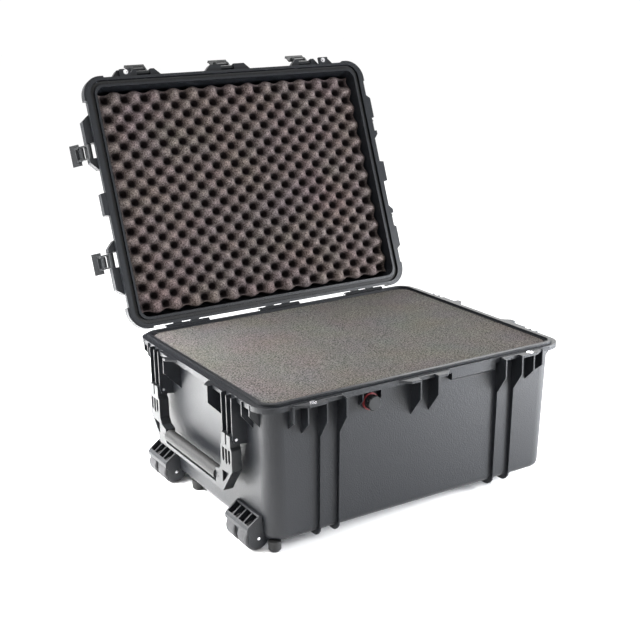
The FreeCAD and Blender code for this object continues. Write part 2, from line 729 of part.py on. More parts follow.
def latch_lever(name, station):
    """The lever: a stem between the lid's ears, two posts, and a flared plate to pull."""
    body = doc.addObject("PartDesign::Body", name)
    stem = body_sketch(body, name + "_stem", "YZ_Plane",
                       [(-12, "lever_pin_up"), (-12, 7), ("-12 - lever_thick", 7),
                        ("-12 - lever_thick", "lever_pin_up")])
    pad(body, name + "_stem_plate", stem, "2 * stem_half_width")
    for side, label in ((1, "a"), (-1, "b")):
        post = body_sketch(body, name + "_side_" + label, "YZ_Plane",
                           [(-6.5, "lever_pin_up"), (-9.5, 6), (-9.5, -5), (-14, -12),
                            (-20.5, -18), (-21, "-flare_top"), (-19, -4), (-16.5, 10),
                            (-14, "lever_pin_up")],
                           "%d * (hook_half_width + 2.7)" % side)
        pad(body, name + "_post_" + label, post, 3.6)
    barrel = circle_sketch(body, name + "_barrel", "YZ_Plane", LEVER_PIN, "5.5")
    pad(body, name + "_head", barrel, "2 * ear_face - 1.2")
    window = "hook_half_width + 0.6"
    face = body_sketch(body, name + "_face", "XZ_Plane",
                       [("-flare_half_width", "-flare_top"),
                        ("-flare_half_width", "-lever_bottom"),
                        ("flare_half_width", "-lever_bottom"),
                        ("flare_half_width", "-flare_top"), (window, "-flare_top"),
                        (window, "-flare_top - 6.5"), ("-1 * (%s)" % window, "-flare_top - 6.5"),
                        ("-1 * (%s)" % window, "-flare_top")],
                       "flare_out + lever_thick / 2")
    pad(body, name + "_flare", face, "lever_thick")
    lip = body_sketch(body, name + "_lip", "YZ_Plane",
                      [("-flare_out - 1", "-lever_bottom"), ("-flare_out - 1", "4 - lever_bottom"),
                       ("-flare_out - 3.5", "5 - lever_bottom"),
                       ("-flare_out - 6.5", "2 - lever_bottom"),
                       ("-flare_out - 6.5", "-lever_bottom")])
    pad(body, name + "_turned_lip", lip, "2 * flare_half_width")
    for label, centre, radius in (("lid", LEVER_PIN, "lever_pin_radius + pin_clearance"),
                                  ("hook", HOOK_PIN, "hook_pin_radius + 0.02")):
        bore = circle_sketch(body, "%s_%s_bore" % (name, label), "YZ_Plane", centre, radius)
        pad(body, "%s_%s_hole" % (name, label), bore, 60, "Pocket")
    body.Placement = lever_open(station)
    return body


def latch_hook(name, station):
    """The hook: it hangs between the lever's posts and pulls up on the tub's lip."""
    body = doc.addObject("PartDesign::Body", name)
    hook = body_sketch(body, name + "_hook", "YZ_Plane",
                       [(-8, 0), (-8, -9.5), (-2.5, -9.5), (-2.5, -12.5), (-12.5, -12.5),
                        (-17, -3), (-17, 3), (-14, 4), (-11.5, 3.5)])
    pad(body, name + "_plate", hook, "2 * hook_half_width")
    bore = circle_sketch(body, name + "_bore", "YZ_Plane", HOOK_PIN,
                         "hook_pin_radius + pin_clearance")
    pad(body, name + "_hole", bore, 60, "Pocket")
    body.Placement = hook_open(station)
    return body


def latches():
    """Seven latches, with their pins."""
    nodes, lever_pins = [], []
    for name, (station, _) in STATIONS.items():
        nodes.append(latch_lever("latch_lever_" + name, station))
        nodes.append(latch_hook("latch_hook_" + name, station))
        nodes.append(rod("hook_pin_" + name, "hook_pin_radius", "2 * hook_half_width + 9",
                         (0, -size("hook_pin_out"), size("hook_pin_up")), X,
                         lever_open(station)))
        lever_pins.append(rod("lever_pin_" + name, "lever_pin_radius", 56,
                              (0, -size("lever_pin_out"), size("lever_pin_up")), X,
                              LID_OPEN.multiply(station)))
    return nodes + [group("latch_lever_pins", lever_pins)]


# ---------------------------------------------------------------- handles

def handle_outline(side):
    """One arm of the handle with its half of the rail, in (along, up) from the rim."""
    top, rail = "-pivot_down", "rail_height - handle_bottom"
    inner, outer = "bracket_inner_y + 2.5", "bracket_inner_y + 2 * bracket_pitch - 2.5"
    points = [(inner, top + " + 7"), (inner, top + " - 17"), (145, top + " - 22"),
              (145, "-150"), (137, "-164"), ("grip_half_length + 1.5", "-170"),
              ("grip_half_length + 1.5", rail), (1, rail), (1, "-handle_bottom"),
              (150, "-handle_bottom"), (160, "-194"), (192, "-154"),
              (192, top + " - 22"), (outer, top + " - 17"), (outer, top + " + 7")]
    return [("%d * (%s)" % (side, along), up) for along, up in points]


def bar_height():
    """The height of the grip's middle, from the rim."""
    return size("rail_height + grip_radius + 2 - handle_bottom")


def handle_frame(end, station):
    """The moulded fold-down handle: two ribbed arms, a round bar and a rail below it."""
    name = "handle_frame_" + end
    halves = []
    for side, label in ((1, "a"), (-1, "b")):
        sketch = free_sketch("%s_arm_%s" % (name, label))
        draw_polygon(sketch, handle_outline(side))
        arm = extrude("%s_half_%s" % (name, label), sketch, "handle_thick", symmetric=True)
        turn = Rotation(Vector(1, 0, 0), Vector(0, 0, 1), Vector(0, -1, 0), "XYZ")
        arm.Placement = station.multiply(Placement(Vector(0, -size("pivot_out") - 1, 0), turn))
        halves.append(arm)
    joint = block(name + "_rail", (-2, "-pivot_out - 1 - handle_thick / 2", "-handle_bottom"),
                  (2, "handle_thick / 2 - pivot_out - 1", "rail_height - handle_bottom"), station)
    bar = rod(name + "_bar", "grip_radius - 4", "2 * grip_half_length + 30",
              (0, -size("pivot_out") - 3, bar_height()), X, station)
    solid = fuse(name + "_solid", halves + [joint, bar])
    return cut(name, solid, fuse(name + "_cuts", handle_cuts(name, station)))


def handle_cuts(name, station):
    """Pin holes, slots for the brackets' middle ribs, and pockets between three ribs."""
    cuts = []
    out, down = size("pivot_out"), -size("pivot_down")
    for side, label in ((1, "a"), (-1, "b")):
        middle = side * size("bracket_inner_y + bracket_pitch")
        cuts.append(rod("%s_pin_%s" % (name, label), "handle_pin_radius + pin_clearance", 60,
                        (middle, -out, down), X, station))
        cuts.append(block("%s_slot_%s" % (name, label),
                          (middle - 2.5, -40, down - 15), (middle + 2.5, 40, down + 20),
                          station))
        for i, shift in enumerate((-12.5, 0, 12.5)):
            cuts.append(face_pocket("%s_pocket_%s%d" % (name, label, i), middle + shift,
                                    4.2, -112, -146 + abs(shift) / 3, station))
        cuts.append(corner_pocket("%s_corner_%s" % (name, label), side, station))
    return cuts


def face_pocket(name, middle, half, top, bottom, station):
    """A tapering pocket in the arm's outer face."""
    sketch = free_sketch(name + "_outline")
    draw_polygon(sketch, [(middle - half, top), (middle - half, bottom + 6), (middle, bottom),
                          (middle + half, bottom + 6), (middle + half, top)])
    pocket = extrude(name, sketch, 14, symmetric=True)
    turn = Rotation(Vector(1, 0, 0), Vector(0, 0, 1), Vector(0, -1, 0), "XYZ")
    out = -size("pivot_out") - 1 - size("handle_thick") / 2
    pocket.Placement = station.multiply(Placement(Vector(0, out, 0), turn))
    return pocket


def corner_pocket(name, side, station):
    """The three-sided pocket in the handle's lower corner."""
    sketch = free_sketch(name + "_outline")
    points = [(150, -163), (150, -188), (156, -185), (178, -161)]
    draw_polygon(sketch, [(side * along, up) for along, up in points])
    pocket = extrude(name, sketch, 14, symmetric=True)
    turn = Rotation(Vector(1, 0, 0), Vector(0, 0, 1), Vector(0, -1, 0), "XYZ")
    out = -size("pivot_out") - 1 - size("handle_thick") / 2
    pocket.Placement = station.multiply(Placement(Vector(0, out, 0), turn))
    return pocket


def handle_grip(end, station):
    """The soft sleeve round the handle's bar."""
    name = "handle_grip_" + end
    centre = (0, -size("pivot_out") - 3, bar_height())
    sleeve = rod(name + "_sleeve", "grip_radius", "2 * grip_half_length", centre, X, station)
    bore = rod(name + "_bore", "grip_radius - 4 + 0.05", "2 * grip_half_length + 10", centre,
               X, station)
    return cut(name, sleeve, bore)


def handle_pins():
    pins = []
    for end, station in ENDS.items():
        for side in (-1, 1):
            middle = side * size("bracket_inner_y + bracket_pitch")
            pins.append(rod("handle_pin_%s_%s" % (end, "a" if side < 0 else "b"),
                            "handle_pin_radius", "2 * bracket_pitch + 5",
                            (middle, -size("pivot_out"), -size("pivot_down")), X, station))
    return group("handle_pins", pins)


# ---------------------------------------------------------------- wheels

def wheel_places():
    """The middle of each of the four wheels."""
    pitch = size("wheel_pitch")
    first = size("housing_inner_y + housing_width / 2 - wheel_pitch / 2")
    return {"front_outer": -(first + pitch), "front_inner": -first,
            "rear_inner": first, "rear_outer": first + pitch}


def wheels():
    nodes = []
    for name, y in wheel_places().items():
        centre = Vector(-size("axle_x"), y, size("axle_z"))
        for part, outline in (("tyre", tyre_outline()), ("hub", hub_outline())):
            body = doc.addObject("PartDesign::Body", "wheel_%s_%s" % (part, name))
            sketch = body_sketch(body, body.Name + "_section", "YZ_Plane", outline)
            turned = body.newObject("PartDesign::Revolution", body.Name + "_turned")
            turned.Profile = sketch
            turned.ReferenceAxis = (sketch, ["H_Axis"])
            turned.Angle = 360
            body.Placement = Placement(centre, Rotation())
            nodes.append(body)
    return nodes


def tyre_outline():
    """Half-section of the tread, in (along the axle, radius)."""
    half = "wheel_width / 2"
    return [("-1 * (%s)" % half, "hub_radius + 0.05"), (half, "hub_radius + 0.05"),
            (half, "wheel_radius - 3"), (half + " - 1", "wheel_radius - 1"),
            (half + " - 3", "wheel_radius"), ("3 - %s" % half, "wheel_radius"),
            ("1 - %s" % half, "wheel_radius - 1"), ("-1 * (%s)" % half, "wheel_radius - 3")]


def hub_outline():
    """Half-section of the hub: a bearing tube, a thin disc and a rim."""
    half, bore = "wheel_width / 2", "axle_radius + pin_clearance"
    return [("-1 * (%s)" % half, bore), (half, bore), (half, "axle_radius + 4"),
            ("half_disc", "axle_radius + 5"), ("half_disc", "hub_radius - 4"),
            (half + " - 1", "hub_radius - 3"), (half + " - 1", "hub_radius"),
            ("1 - %s" % half, "hub_radius"), ("1 - %s" % half, "hub_radius - 3"),
            ("-1 * half_disc", "hub_radius - 4"), ("-1 * half_disc", "axle_radius + 5"),
            ("-1 * (%s)" % half, "axle_radius + 4")]


def housing(name, side):
    """A hood with a slatted slope over two wheels, between three side plates."""
    low = size("housing_inner_y") if side > 0 else -size("housing_inner_y + housing_width")
    middle = low + size("housing_width") / 2
    sketch = free_sketch(name + "_profile")
    draw_polygon(sketch, [("-axle_x + 9", 74), ("-axle_x + 3", 74), ("-axle_x - 22", 55),
                          ("-axle_x - 25", 50), ("-axle_x - 25", 42), ("-axle_x - 21", 39),
                          ("-axle_x - 21", "axle_z"), ("-axle_x + 28", "axle_z"),
                          ("-axle_x + 28", 57), ("-axle_x + 9", 57)])
    hood = extrude(name + "_hood", sketch, "housing_width", symmetric=True)
    turn = Rotation(Vector(1, 0, 0), Vector(0, 0, 1), Vector(0, -1, 0), "XYZ")
    hood.Placement = Placement(Vector(0, middle, 0), turn)
    centre = (-size("axle_x"), middle, size("axle_z"))
    cheek = rod(name + "_cheek", 21, "housing_width", centre, Y)
    cuts = [rod(name + "_axle_bore", "axle_radius + 0.02", "housing_width + 10", centre, Y)]
    for place, y in wheel_places().items():
        if y * side > 0:
            cuts.append(rod("%s_wheel_space_%s" % (name, place), "wheel_radius + 2",
                            "wheel_width + 2.5", (centre[0], y, centre[2]), Y))
    cuts += housing_slots(name, middle)
    cuts += [rod("%s_screw_%d" % (name, i), 2.02, 22, place, X)
             for i, place in enumerate(housing_screw_places()) if place[1] * side > 0]
    return cut(name, fuse(name + "_solid", [hood, cheek]), fuse(name + "_cuts", cuts))


def housing_slots(name, middle):
    """Four slots through the hood's slope."""
    slots, pitch = [], 22.5
    for i in range(4):
        y = middle + (i - 1.5) * pitch
        slot = doc.addObject("Part::Box", "%s_slot_%d" % (name, i))
        slot.Length, slot.Width, slot.Height = 25, pitch - 3, 16
        lean = Rotation(Vector(25, 0, 19), Vector(0, 1, 0), Vector(-19, 0, 25), "XYZ")
        corner = Vector(-size("axle_x") - 22, y - (pitch - 3) / 2, 55)
        slot.Placement = Placement(corner + lean.multVec(Vector(3, 0, -11)), lean)
        slots.append(slot)
    return slots


def housing_screw_places():
    """Where the housings' screws pass through the wells' inner walls."""
    return [(-size("axle_x") + 28, side * along, 51)
            for side in (-1, 1) for along in (164, 214)]


def housing_screws():
    screws = []
    for i, (x, y, z) in enumerate(housing_screw_places()):
        shank = rod("screw_shank_%d" % i, 2, 16, (x, y, z), X)
        head = rod("screw_head_%d" % i, 4, 2.5, (x + 9.25, y, z), X)
        screws.append(fuse("housing_screw_%d" % i, [shank, head]))
    return group("housing_screws", screws)


def axles():
    length = "housing_width + 3"
    middle = size("housing_inner_y + housing_width / 2")
    return group("wheel_axles", [
        rod("axle_%s" % label, "axle_radius", length,
            (-size("axle_x"), side * middle, size("axle_z")), Y)
        for label, side in (("front", -1), ("rear", 1))])


def feet():
    """Rubber feet: four beside the wheel housings and two under the other end."""
    places = [(-332, 90, 13), (-332, 251.5, 13), (300, 200, 14)]
    pads = []
    for i, (x, y, radius) in enumerate(places):
        for side, label in ((1, "a"), (-1, "b")):
            name = "foot_%d%s" % (i, label)
            upper = rod(name + "_body", radius, "floor_gap - 5",
                        (x, side * y, size("(floor_gap + 5) / 2")), Z)
            toe = doc.addObject("Part::Cone", name + "_toe")
            toe.Radius1, toe.Radius2, toe.Height = radius - 4, radius, 5
            toe.Placement = Placement(Vector(x, side * y, 0), Rotation())
            pads.append(fuse(name, [upper, toe]))
    return group("rubber_feet", pads)


# ---------------------------------------------------------------- purge valve

def valve():
    """Seal ring, body and nut on the front wall, and the knob that screws the vent shut."""
    x, z = -size("valve_x"), RIM - size("valve_down")
    face = -size("flange_half_wide") + 9

    def turned(name, radius, near, far, bore=None):
        disc = rod(name + ("_disc" if bore else ""), radius, far - near,
                   (x, face - (near + far) / 2, z), Y)
        if bore is None:
            return disc
        hole = rod(name + "_bore", bore, 60, (x, face, z), Y)
        return cut(name, disc, hole)

    ring = turned("valve_seal_ring", 18, 0, 3, 8)
    flange = turned("valve_flange", 15, 3, 7)
    stem = turned("valve_stem", 5.9, -16, 3)
    stub = turned("valve_stub", 4, 6, 12)
    body = fuse("valve_body", [flange, stem, stub])
    nut = turned("valve_nut", 11, -14.6, -10.6, 5.95)

    knob = doc.addObject("PartDesign::Body", "valve_knob")
    section = body_sketch(knob, "valve_knob_section", "YZ_Plane",
                          [(-7.4, 4.06), (-12.1, 4.06), (-12.1, 0.01), (-19, 0.01),
                           (-19, "valve_knob_radius - 2"), (-17.5, "valve_knob_radius - 0.5"),
                           (-16, "valve_knob_radius"), (-7.4, "valve_knob_radius")])
    turned_knob = knob.newObject("PartDesign::Revolution", "valve_knob_turned")
    turned_knob.Profile = section
    turned_knob.ReferenceAxis = (section, ["H_Axis"])
    turned_knob.Angle = 360
    doc.recompute()
    notch = circle_sketch(knob, "valve_knob_notch", "XZ_Plane", ("0", "valve_knob_radius + 1.2"),
                          "2.6", 13)
    groove = pad(knob, "valve_knob_groove", notch, 20, "Pocket")
    ring_of = knob.newObject("PartDesign::PolarPattern", "valve_knob_grooves")
    ring_of.Originals = [groove]
    ring_of.Axis = (section, ["H_Axis"])
    ring_of.Angle = 360
    ring_of.Occurrences = 10
    knob.Tip = ring_of
    knob.Placement = Placement(Vector(x, face, z), Rotation())
    return [ring, body, nut, knob]


# ---------------------------------------------------------------- foam

def foam_layer(name, low_z, high_z):
    """A block of foam that follows the drafted cavity, clear of it all round."""
    tall = "(rim_height - floor_gap - floor_thick)"
    sections = []
    for height in (low_z, high_z):
        share = "((rim_height - (%s)) / %s)" % (height, tall)
        sections.append(("cavity_half_long - foam_clearance - tub_draft * %s" % share,
                         "cavity_half_wide - foam_clearance - tub_draft * %s" % share,
                         "cavity_corner", height))
    return drafted_block(name, *sections)


def base_foam():
    floor = "floor_gap + floor_thick"
    pad_block = slab("foam_pad_block", "cavity_half_long - tub_draft - 10",
                     "cavity_half_wide - tub_draft - 10", "cavity_corner",
                     floor + " + 0.3", "foam_pad_thick - 0.6")
    lower = foam_layer("foam_lower_block", floor + " + foam_pad_thick",
                       floor + " + foam_pad_thick + foam_layer - 0.3")
    upper = foam_layer("foam_upper_block", floor + " + foam_pad_thick + foam_layer",
                       "rim_height + foam_above_rim")
    notches = fuse("foam_notches", wheel_wells("foam_notch", "11"))
    more = fuse("foam_notches_low", wheel_wells("foam_notch_low", "11"))
    relief = rod("valve_relief", 16, 50, (-size("valve_x"), -size("cavity_half_wide") + 10,
                                          RIM - size("valve_down")), Y)
    return [cut("foam_base_pad", pad_block, notches), cut("foam_block_lower", lower, more),
            cut("foam_block_upper", upper, relief)]


def lid_foam():
    foam = slab("foam_lid", "lid_foam_half_long", "lid_foam_half_wide", "14",
                "rim_height + lid_foam_recess", "lid_foam_thick")
    foam.Placement = LID_OPEN
    return foam


# ---------------------------------------------------------------- build and export

def main():
    nodes = [base_shell(), lid_shell(), lid_gasket(), hinge_pins()]
    nodes += padlock_eyes()
    nodes += latches()
    for end, station in ENDS.items():
        nodes += [handle_frame(end, station), handle_grip(end, station)]
    nodes.append(handle_pins())
    nodes += wheels()
    nodes += [housing("wheel_housing_front", -1), housing("wheel_housing_rear", 1)]
    nodes += [axles(), housing_screws(), feet()]
    nodes += valve() + base_foam() + [lid_foam()]
    to_origin = Placement(Vector(0, -size("origin_back"), 0), Rotation())
    for node in nodes:
        node.Placement = to_origin.multiply(node.Placement)
    doc.recompute()

    for item in doc.Objects:
        for word in ("Invalid", "Error"):
            if word in item.State:
                raise RuntimeError("%s is %s" % (item.Name, item.State))
    os.makedirs("parts", exist_ok=True)
    for node in nodes:
        node.Label = node.Name
        shape = node.Shape
        if shape.isNull() or not shape.isValid() or shape.Volume <= 0:
            raise RuntimeError("%s has no valid solid" % node.Name)
    for node in nodes:
        node.Shape.exportStep("parts/%s.step" % node.Label)
        print("%-28s %2d solids %10.0f mm3" % (node.Label, len(node.Shape.Solids),
                                               node.Shape.Volume))
    print(len(nodes), "nodes")


main()
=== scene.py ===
import json
import math

import bpy
from mathutils import Matrix, Vector, noise


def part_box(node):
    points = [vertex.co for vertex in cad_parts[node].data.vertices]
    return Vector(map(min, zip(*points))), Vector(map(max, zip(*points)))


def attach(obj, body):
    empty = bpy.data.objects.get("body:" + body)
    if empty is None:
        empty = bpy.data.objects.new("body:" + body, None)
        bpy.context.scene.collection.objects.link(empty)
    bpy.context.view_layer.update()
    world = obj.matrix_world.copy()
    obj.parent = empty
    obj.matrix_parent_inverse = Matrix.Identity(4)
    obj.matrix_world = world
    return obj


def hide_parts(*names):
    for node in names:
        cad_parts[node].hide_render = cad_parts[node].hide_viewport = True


# Hard equipment case with its lid open: camera, lights, materials and foam.
# Metres, in the CAD frame: +Z up, front towards -Y, wheels at the -X end.

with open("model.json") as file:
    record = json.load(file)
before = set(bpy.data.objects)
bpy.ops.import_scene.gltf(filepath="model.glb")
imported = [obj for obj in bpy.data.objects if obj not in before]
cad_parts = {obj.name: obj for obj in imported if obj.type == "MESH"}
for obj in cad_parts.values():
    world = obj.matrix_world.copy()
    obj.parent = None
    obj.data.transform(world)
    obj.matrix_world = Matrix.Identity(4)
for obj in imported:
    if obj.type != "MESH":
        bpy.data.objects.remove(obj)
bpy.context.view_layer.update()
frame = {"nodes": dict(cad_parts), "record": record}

MM = 0.001
BACK = 141.6 * MM      # the tub's middle lies this far in front of the origin
RIM = 312 * MM         # height of the tub's rim
HINGE = next(j for j in frame["record"]["behaviour"]["joints"] if j["name"] == "lid_hinge")
OPEN_ANGLE = math.radians(HINGE["range_deg"][1])

CAMERA_ANGLES = (-31.63, 17.47, -0.77)     # azimuth, elevation and roll, in degrees
CAMERA_PLACE = (-1.3225, -2.0569 - BACK, 1.0917)
FLOOR_HALF = 14
CASE_EDGE = 0.9 * MM       # rounding on the mouldings' sharp edges
SMALL_EDGE = 0.6 * MM


def lid_open():
    """Takes a place on the closed lid to the same place on the open lid."""
    pivot = Matrix.Translation(HINGE["pos_m"])
    return pivot @ Matrix.Rotation(-OPEN_ANGLE, 4, "X") @ pivot.inverted()


# ---------------------------------------------------------------- camera and lights

def make_camera():
    azimuth, elevation, roll = (math.radians(angle) for angle in CAMERA_ANGLES)
    back = Vector((math.sin(azimuth) * math.cos(elevation),
                   -math.cos(azimuth) * math.cos(elevation), math.sin(elevation)))
    right = (-back).cross(Vector((0, 0, 1))).normalized()
    up = right.cross(-back)
    turned_right = right * math.cos(roll) + up * math.sin(roll)
    turned_up = up * math.cos(roll) - right * math.sin(roll)
    data = bpy.data.cameras.new("camera")
    data.lens, data.sensor_width = 65.6, 36
    data.shift_x, data.shift_y = -0.0074, 0.0216
    data.clip_start, data.clip_end = 0.1, 50
    camera = bpy.data.objects.new("camera", data)
    rotation = Matrix((turned_right, turned_up, back)).transposed()
    camera.matrix_world = Matrix.Translation(CAMERA_PLACE) @ rotation.to_4x4()
    bpy.context.collection.objects.link(camera)
    bpy.context.scene.camera = camera


def area_light(name, place, target, size, power, colour=(1, 1, 1), spread=180):
    """A rectangular light at a place, turned to a target; its spread is in degrees."""
    data = bpy.data.lights.new(name, "AREA")
    data.spread = math.radians(spread)
    data.shape, data.size, data.size_y = "RECTANGLE", size[0], size[1]
    data.energy, data.color = power, colour
    light = bpy.data.objects.new(name, data)
    light.location = place
    direction = Vector(target) - Vector(place)
    light.rotation_euler = direction.to_track_quat("-Z", "Y").to_euler()
    bpy.context.collection.objects.link(light)


def make_world():
    world = bpy.data.worlds.new("studio")
    bpy.context.scene.world = world
    world.use_nodes = True
    background = world.node_tree.nodes["Background"]
    background.inputs["Color"].default_value = (1, 1, 1, 1)
    background.inputs["Strength"].default_value = 1.05


def make_floor():
    mesh = bpy.data.meshes.new("floor")
    corners = [(-FLOOR_HALF, -FLOOR_HALF, 0), (FLOOR_HALF, -FLOOR_HALF, 0),
               (FLOOR_HALF, FLOOR_HALF, 0), (-FLOOR_HALF, FLOOR_HALF, 0)]
    mesh.from_pydata(corners, [], [(0, 1, 2, 3)])
    floor = bpy.data.objects.new("floor", mesh)
    bpy.context.collection.objects.link(floor)
    material = new_material("floor_white")
    shader = material.node_tree.nodes["Principled BSDF"]
    shader.inputs["Base Color"].default_value = (0.96, 0.96, 0.96, 1)
    shader.inputs["Roughness"].default_value = 0.7
    mesh.materials.append(material)


# ---------------------------------------------------------------- materials

def new_material(name):
    material = bpy.data.materials.new(name)
    material.use_nodes = True
    return material


def node(material, kind, **values):
    made = material.node_tree.nodes.new(kind)
    for key, value in values.items():
        made.inputs[key.replace("_", " ").title()].default_value = value
    return made


def link(material, source, output, target, socket):
    material.node_tree.links.new(source.outputs[output], target.inputs[socket])


def plastic(name, colour, rough, grain=900.0, depth=0.12, spread=0.08):
    """Moulded plastic: near-black, with fine grain and a little unevenness in its gloss."""
    material = new_material(name)
    shader = material.node_tree.nodes["Principled BSDF"]
    shader.inputs["Base Color"].default_value = (*colour, 1)
    shader.inputs["IOR"].default_value = 1.5
    shader.inputs["Specular IOR Level"].default_value = 0.3
    place = material.node_tree.nodes.new("ShaderNodeTexCoord")
    patches = node(material, "ShaderNodeTexNoise", Scale=7.0, Detail=3.0)
    link(material, place, "Object", patches, "Vector")
    gloss = material.node_tree.nodes.new("ShaderNodeMapRange")
    gloss.inputs["To Min"].default_value = rough - spread / 2
    gloss.inputs["To Max"].default_value = rough + spread / 2
    link(material, patches, "Fac", gloss, "Value")
    link(material, gloss, "Result", shader, "Roughness")
    pebble = node(material, "ShaderNodeTexNoise", Scale=grain * 0.45, Detail=1.0)
    link(material, place, "Object", pebble, "Vector")
    rough_skin = node(material, "ShaderNodeBump", Strength=depth * 3, Distance=0.0012)
    link(material, pebble, "Fac", rough_skin, "Height")
    fine = node(material, "ShaderNodeTexNoise", Scale=grain, Detail=2.0)
    link(material, place, "Object", fine, "Vector")
    bump = node(material, "ShaderNodeBump", Strength=depth, Distance=0.0004)
    link(material, fine, "Fac", bump, "Height")
    link(material, rough_skin, "Normal", bump, "Normal")
    link(material, bump, "Normal", shader, "Normal")
    return material


def foam(name, dark, light, cell=420.0, depth=0.6, pit_shade=None):
    """Open-celled foam: speckled colour and a deep fine bump; painted shade may darken its pits.
    """
    material = new_material(name)
    shader = material.node_tree.nodes["Principled BSDF"]
    shader.inputs["Roughness"].default_value = 0.95
    shader.inputs["Specular IOR Level"].default_value = 0.15
    place = material.node_tree.nodes.new("ShaderNodeTexCoord")
    cells = node(material, "ShaderNodeTexVoronoi", Scale=cell)
    grain = node(material, "ShaderNodeTexNoise", Scale=cell * 0.6, Detail=4.0, Roughness=0.7)
    broad = node(material, "ShaderNodeTexNoise", Scale=9.0, Detail=3.0)
    for texture in (cells, grain, broad):
        link(material, place, "Object", texture, "Vector")
    ramp = material.node_tree.nodes.new("ShaderNodeValToRGB")
    ramp.color_ramp.elements[0].position = 0.38
    ramp.color_ramp.elements[0].color = (*dark, 1)
    ramp.color_ramp.elements[1].position = 0.64
    ramp.color_ramp.elements[1].color = (*light, 1)
    link(material, grain, "Fac", ramp, "Fac")
    tint = material.node_tree.nodes.new("ShaderNodeMix")
    tint.data_type, tint.blend_type = "RGBA", "MULTIPLY"
    tint.inputs["Factor"].default_value = 0.25
    link(material, ramp, "Color", tint, "A")
    link(material, broad, "Color", tint, "B")
    colour = tint
    # painted shade: lower down in the egg-crate pits (by the foam_height attribute) the colour
    # is mixed towards a near-black shade colour
    if pit_shade is not None:
        height = material.node_tree.nodes.new("ShaderNodeAttribute")
        height.attribute_name = "foam_height"
        share = material.node_tree.nodes.new("ShaderNodeMapRange")
        share.inputs["From Min"].default_value = 0.46
        share.inputs["From Max"].default_value = 0.93
        link(material, height, "Fac", share, "Value")
        colour = material.node_tree.nodes.new("ShaderNodeMix")
        colour.data_type = "RGBA"
        colour.inputs["A"].default_value = (*pit_shade, 1)
        link(material, share, "Result", colour, "Factor")
        material.node_tree.links.new(tint.outputs["Result"], colour.inputs["B"])
    material.node_tree.links.new(colour.outputs["Result"], shader.inputs["Base Color"])
    bump = node(material, "ShaderNodeBump", Strength=depth, Distance=0.0012)
    link(material, cells, "Distance", bump, "Height")
    link(material, bump, "Normal", shader, "Normal")
    return material


def metal(name, colour, rough):
    material = new_material(name)
    shader = material.node_tree.nodes["Principled BSDF"]
    shader.inputs["Base Color"].default_value = (*colour, 1)
    shader.inputs["Metallic"].default_value = 1
    place = material.node_tree.nodes.new("ShaderNodeTexCoord")
    streaks = node(material, "ShaderNodeTexNoise", Scale=300.0, Detail=2.0)
    link(material, place, "Object", streaks, "Vector")
    gloss = material.node_tree.nodes.new("ShaderNodeMapRange")
    gloss.inputs["To Min"].default_value = rough - 0.06
    gloss.inputs["To Max"].default_value = rough + 0.1
    link(material, streaks, "Fac", gloss, "Value")
    link(material, gloss, "Result", shader, "Roughness")
    return material


def rubber(name, colour, rough=0.7):
    return plastic(name, colour, rough, grain=500.0, depth=0.2)


def finish_cad_nodes():
    made = {
        "case_black": plastic("case_plastic", (0.008, 0.009, 0.011), 0.40),
        "latch_black": plastic("latch_plastic", (0.010, 0.011, 0.012), 0.34, depth=0.05),
        "grip_black": rubber("grip_rubber", (0.012, 0.012, 0.012), 0.55),
        "seal_black": rubber("seal_rubber", (0.010, 0.010, 0.010), 0.6),
        "foot_black": rubber("foot_rubber", (0.014, 0.014, 0.014)),
        "tyre_grey": rubber("tyre_rubber", (0.035, 0.035, 0.037), 0.6),
        "hub_grey": plastic("hub_plastic", (0.02, 0.02, 0.021), 0.4),
        "steel": metal("bright_steel", (0.72, 0.72, 0.74), 0.22),
        "seal_red": rubber("seal_red", (0.11, 0.006, 0.008), 0.5),
    }
    slots = {s["node"]: s["material_slot"] for s in frame["record"]["subparts"]}
    for name, thing in frame["nodes"].items():
        material = made.get(slots[name])
        if material is None:
            continue
        thing.data.materials.clear()
        thing.data.materials.append(material)
        soften(thing, CASE_EDGE if slots[name] == "case_black" else SMALL_EDGE)


def soften(thing, width):
    """Rounds a moulding's sharp edges a little, as its mould does."""
    bevel = thing.modifiers.new("edges", "BEVEL")
    bevel.width, bevel.segments = width, 2
    bevel.limit_method, bevel.angle_limit = "ANGLE", math.radians(35)
    bevel.use_clamp_overlap = True


# ---------------------------------------------------------------- foam

def mesh_piece(name, vertices, faces, material, smooth=True):
    mesh = bpy.data.meshes.new(name)
    mesh.from_pydata(vertices, [], faces)
    mesh.validate()
    for polygon in mesh.polygons:
        polygon.use_smooth = smooth
    mesh.materials.append(material)
    piece = bpy.data.objects.new(name, mesh)
    bpy.context.collection.objects.link(piece)
    return piece


def grid_block(columns, rows, top, bottom):
    """A closed block: a grid of top points, walls, and a grid-edge bottom.

    top(i, j) and bottom(i, j) give points; only the border of the bottom is used."""
    vertices = [top(i, j) for j in range(rows) for i in range(columns)]
    faces = []
    for j in range(rows - 1):
        for i in range(columns - 1):
            a = j * columns + i
            faces.append((a, a + 1, a + 1 + columns, a + columns))
    border = [(i, 0) for i in range(columns)]
    border += [(columns - 1, j) for j in range(1, rows)]
    border += [(i, rows - 1) for i in range(columns - 2, -1, -1)]
    border += [(0, j) for j in range(rows - 2, 0, -1)]
    first = len(vertices)
    vertices += [bottom(i, j) for i, j in border]
    count = len(border)
    for k in range(count):
        i, j = border[k]
        m, n = border[(k + 1) % count]
        faces.append((j * columns + i, first + k, first + (k + 1) % count, n * columns + m))
    faces.append(tuple(range(first + count - 1, first - 1, -1)))
    return vertices, faces


FOAM_HALF_LONG, FOAM_HALF_WIDE = 336 * MM, 252 * MM     # the lid's foam sheet
EGG_STEP = 2.6 * MM
EGG_LONG = 2 * FOAM_HALF_LONG / 13.5          # one period of the egg-crate pattern
EGG_WIDE = 2 * FOAM_HALF_WIDE / 11.5


